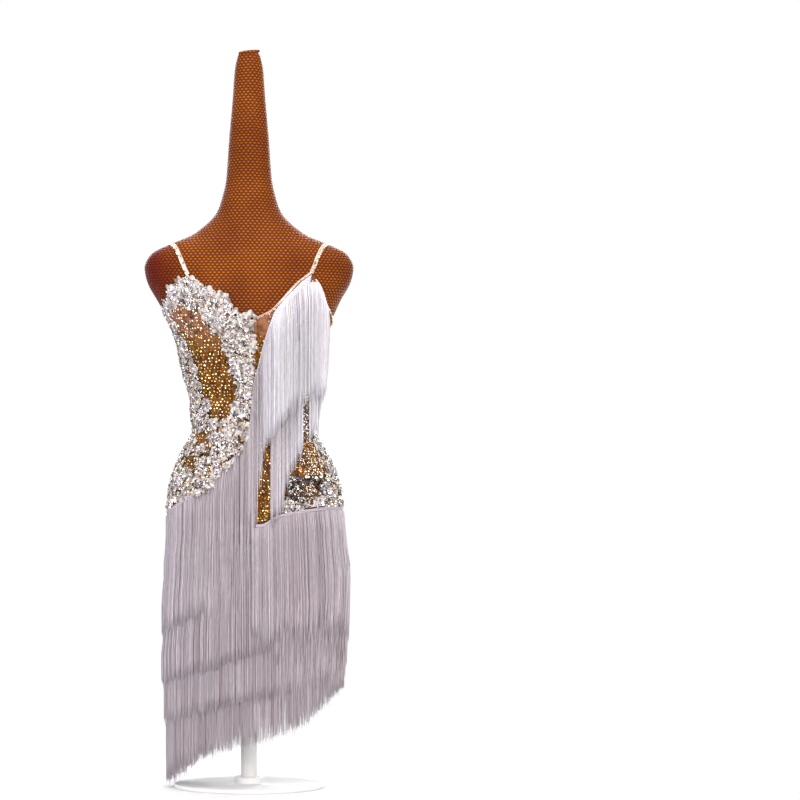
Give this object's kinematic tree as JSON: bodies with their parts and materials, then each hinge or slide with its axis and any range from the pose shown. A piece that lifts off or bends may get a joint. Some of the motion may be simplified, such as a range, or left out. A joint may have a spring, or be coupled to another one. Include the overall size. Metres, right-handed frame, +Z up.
{
  "type": "fringed latin dance dress on a limbless dress form",
  "caption": "Sleeveless one-piece latin dance dress with beaded lace, thin straps and long slanting rows of fringe, worn by a limbless dress form that stands on a post and a round base.",
  "frame": {"origin": "centre of the underside of the round base, on the surface it stands on", "axes": "+Z up along the post, -Y the front of the dress, +X the wearer's left"},
  "size_m": [0.4142, 0.3, 1.4753],
  "materials": {
    "cover": "woven leather look, satin",
    "coat": "white powder coat",
    "mesh": "skin-tone stretch mesh",
    "lace": "white corded lace with sequins and stones",
    "trim": "skin-tone elastic set with crystals",
    "crystal": "faceted foil-backed crystal",
    "clasp": "clear polished",
    "fringe": "white chainette fringe, soft sheen"
  },
  "bodies": {
    "root": {"form_body": "cover", "form_neck_cap": "cover", "stand_post": "coat", "stand_base": "coat", "bodice_front_right": "mesh", "bodice_front_left": "mesh", "hip_band_back": "lace", "underskirt": "mesh", "lace_neckline": "lace", "lace_centre": "lace", "lace_side": "lace", "lace_waist": "lace", "lace_hip_right": "lace", "lace_hip_left": "lace", "lace_hip_left_low": "lace", "strap_right": "trim", "strap_left": "trim", "neck_trim_left": "crystal", "armhole_trim_left": "crystal", "back_band": "trim", "back_clasp": "clasp", "tape_front_right": "fringe", "tape_front_left": "fringe", "tape_back": "fringe", "fringe_1_front_right": "fringe", "fringe_1_centre": "fringe", "fringe_1_front_left": "fringe", "fringe_1_back": "fringe", "fringe_2_front": "fringe", "fringe_2_back": "fringe", "fringe_3_front": "fringe", "fringe_3_back": "fringe", "fringe_4_front": "fringe", "fringe_4_back": "fringe", "cup_fringe_outer": "fringe", "cup_fringe_inner_front": "fringe", "cup_fringe_inner_side": "fringe"}
  },
  "joints": []
}
